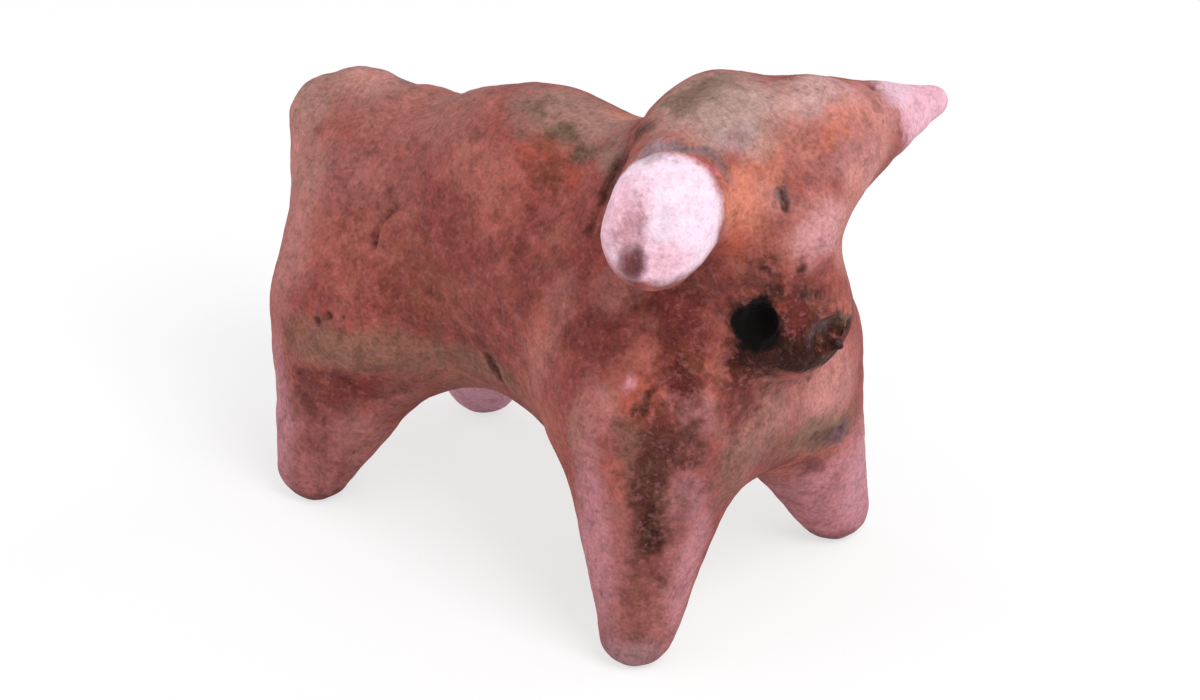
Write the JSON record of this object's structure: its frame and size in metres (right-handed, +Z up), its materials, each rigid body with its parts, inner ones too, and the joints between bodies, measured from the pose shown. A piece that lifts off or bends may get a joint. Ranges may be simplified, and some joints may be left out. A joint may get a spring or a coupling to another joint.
{
  "type": "cow figurine",
  "caption": "Hand-modelled fired-clay cow with a shoulder hump and horns, standing on four blunt conical legs.",
  "frame": {"origin": "on the ground, under the middle of the figurine's box", "axes": "+X towards the nose, +Y to the animal's left, +Z up"},
  "size_m": [0.0982, 0.0624, 0.0767],
  "materials": {
    "clay": "unglazed fired clay, red-brown with grey clouds, matt and gritty",
    "dark_clay": "unglazed fired clay, darkened by smoke",
    "worn_horn_clay": "unglazed fired clay, worn to a pale pink core"
  },
  "bodies": {
    "root": {"trunk": "clay", "right_hind_leg": "clay", "left_hind_leg": "clay", "right_foreleg": "clay", "left_foreleg": "clay", "hump": "clay", "neck": "clay", "head": "clay", "muzzle": "dark_clay", "right_horn": "worn_horn_clay", "left_horn": "clay", "tail": "clay"}
  },
  "joints": []
}
